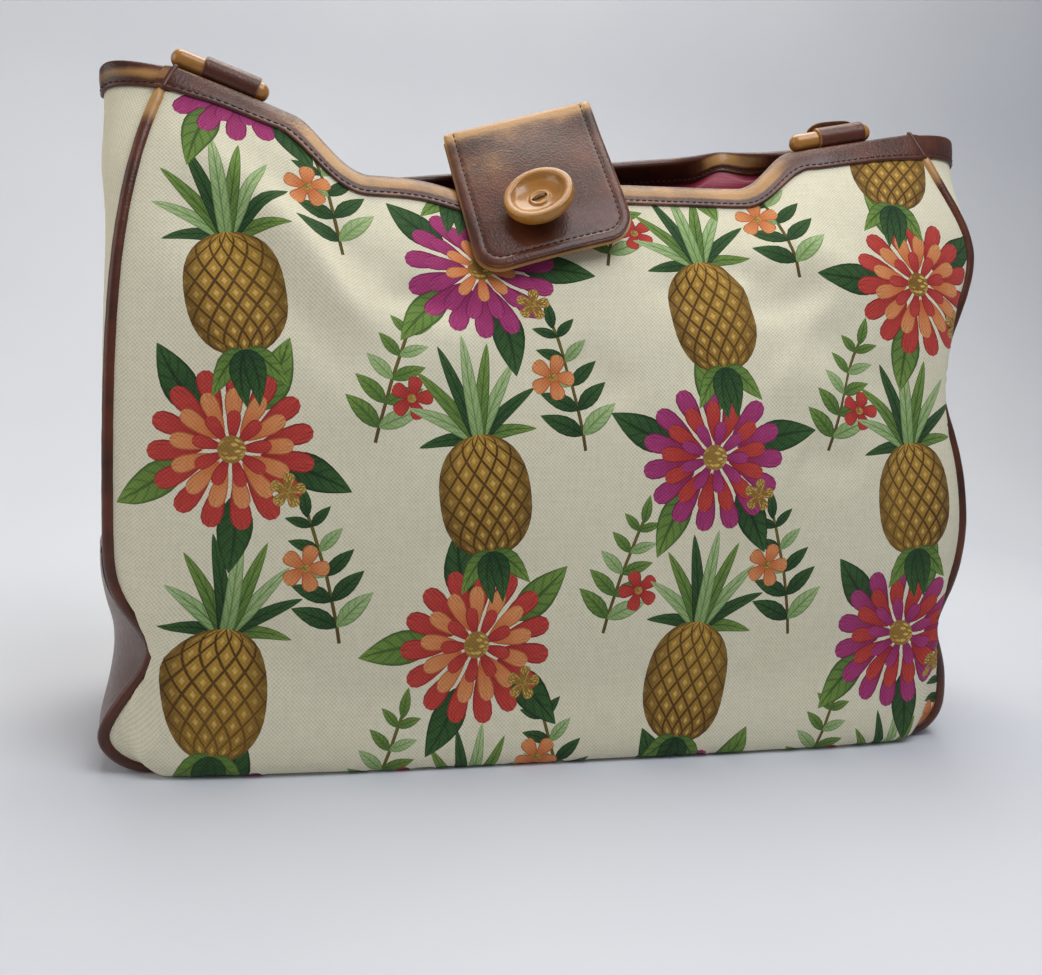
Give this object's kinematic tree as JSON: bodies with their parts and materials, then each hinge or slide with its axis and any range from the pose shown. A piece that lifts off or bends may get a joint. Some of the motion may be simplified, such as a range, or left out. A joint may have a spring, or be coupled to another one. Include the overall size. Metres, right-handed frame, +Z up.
{
  "type": "tote bag",
  "caption": "Soft canvas tote bag with leatherette bands and piping, a buttoned flap over the mouth and toggle rods in sleeves.",
  "frame": {"origin": "centre of the bag's box in plan, on the surface it stands on", "axes": "+X to the right seen from the front, +Y to the back, +Z up"},
  "size_m": [0.4494, 0.1575, 0.329],
  "materials": {
    "printed_canvas": "woven, printed",
    "plain_canvas": "woven",
    "leatherette": "burnished satin",
    "boot_leatherette": "matt",
    "tan_leatherette": "satin",
    "lining_satin": "satin",
    "amber_wood": "polished",
    "thread": "matt"
  },
  "bodies": {
    "bag": {"front_panel": "printed_canvas", "back_panel": "plain_canvas", "left_gusset": "plain_canvas", "right_gusset": "plain_canvas", "left_boot": "boot_leatherette", "right_boot": "boot_leatherette", "base_panel": "boot_leatherette", "lining": "lining_satin", "front_band": "leatherette", "back_band": "leatherette", "left_band": "leatherette", "right_band": "leatherette", "front_piping": "leatherette", "back_piping": "leatherette", "flap_tail": "leatherette", "left_loop": "leatherette", "right_loop": "leatherette"},
    "flap": {"flap": "leatherette", "flap_backing": "tan_leatherette", "flap_button": "amber_wood", "button_thread": "thread"},
    "left_rod": {"left_rod": "amber_wood"},
    "right_rod": {"right_rod": "amber_wood"}
  },
  "joints": [
    {"name": "flap_hinge", "type": "hinge", "parent": "bag", "child": "flap", "pos_m": [-0.0225, 0.004, 0.3115], "axis": [-0.9563, 0, -0.2924], "range_deg": [0, 170]},
    {"name": "left_rod_spin", "type": "hinge", "parent": "bag", "child": "left_rod", "pos_m": [-0.16739, -0.00988, 0.31891], "axis": [0.9535, 0, -0.3013], "continuous": true},
    {"name": "right_rod_spin", "type": "hinge", "parent": "bag", "child": "right_rod", "pos_m": [0.1442, -0.00975, 0.31556], "axis": [0.9766, 0, 0.2149], "continuous": true}
  ]
}
